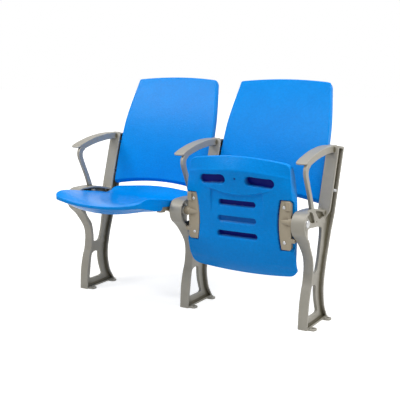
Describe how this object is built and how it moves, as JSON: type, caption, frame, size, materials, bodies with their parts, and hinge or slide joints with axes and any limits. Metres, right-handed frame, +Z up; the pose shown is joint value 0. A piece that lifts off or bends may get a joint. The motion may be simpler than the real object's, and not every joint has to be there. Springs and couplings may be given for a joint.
{
  "type": "stadium seat",
  "caption": "Row of tip-up stadium seats with moulded shells, leaning backs and cast standards with armrests, one seat down and one folded up.",
  "frame": {"origin": "on the floor, under the middle of the bounding box of the whole row", "axes": "+X along the row, to the left of whoever sits in it, +Y towards the back of the seats, +Z up"},
  "size_m": [1.081, 0.627, 0.875],
  "materials": {
    "cast_aluminium": "satin warm grey casting",
    "moulded_plastic": "fine leather grain, blue",
    "cast_bracket": "satin brown grey casting",
    "bush_nylon": "natural nylon",
    "zinc_steel": "zinc plated",
    "buffer_rubber": "matt black"
  },
  "bodies": {
    "frame": {"standard_left": "cast_aluminium", "standard_middle": "cast_aluminium", "standard_right": "cast_aluminium", "back_shell_left": "moulded_plastic", "pivot_bush_left_left": "bush_nylon", "back_spacer_left_left": "zinc_steel", "pivot_bush_left_right": "bush_nylon", "back_spacer_left_right": "zinc_steel", "back_shell_right": "moulded_plastic", "pivot_bush_right_left": "bush_nylon", "back_spacer_right_left": "zinc_steel", "pivot_bush_right_right": "bush_nylon", "back_spacer_right_right": "zinc_steel", "back_stud_middle": "zinc_steel", "pivot_cap_left": "zinc_steel", "back_stud_left": "zinc_steel", "back_nut_left": "zinc_steel", "pivot_cap_right": "zinc_steel", "back_stud_right": "zinc_steel", "back_nut_right": "zinc_steel"},
    "seat_left": {"seat_shell_left": "moulded_plastic", "seat_bracket_left_inner": "cast_bracket", "stop_buffer_left_inner": "buffer_rubber", "bracket_screw_left_inner_front": "zinc_steel", "bracket_screw_left_inner_rear": "zinc_steel", "seat_bracket_left_outer": "cast_bracket", "stop_buffer_left_outer": "buffer_rubber", "bracket_screw_left_outer_front": "zinc_steel", "bracket_screw_left_outer_rear": "zinc_steel"},
    "seat_right": {"seat_shell_right": "moulded_plastic", "seat_bracket_right_inner": "cast_bracket", "stop_buffer_right_inner": "buffer_rubber", "bracket_screw_right_inner_front": "zinc_steel", "bracket_screw_right_inner_rear": "zinc_steel", "seat_bracket_right_outer": "cast_bracket", "stop_buffer_right_outer": "buffer_rubber", "bracket_screw_right_outer_front": "zinc_steel", "bracket_screw_right_outer_rear": "zinc_steel"}
  },
  "joints": [
    {"name": "seat_left_hinge", "type": "hinge", "parent": "frame", "child": "seat_left", "pos_m": [-0.2545, -0.09252, 0.394], "axis": [-1, 0, 0], "range_deg": [0, 80]},
    {"name": "seat_right_hinge", "type": "hinge", "parent": "frame", "child": "seat_right", "pos_m": [0.2455, -0.09252, 0.394], "axis": [1, 0, 0], "range_deg": [0, 80]}
  ]
}
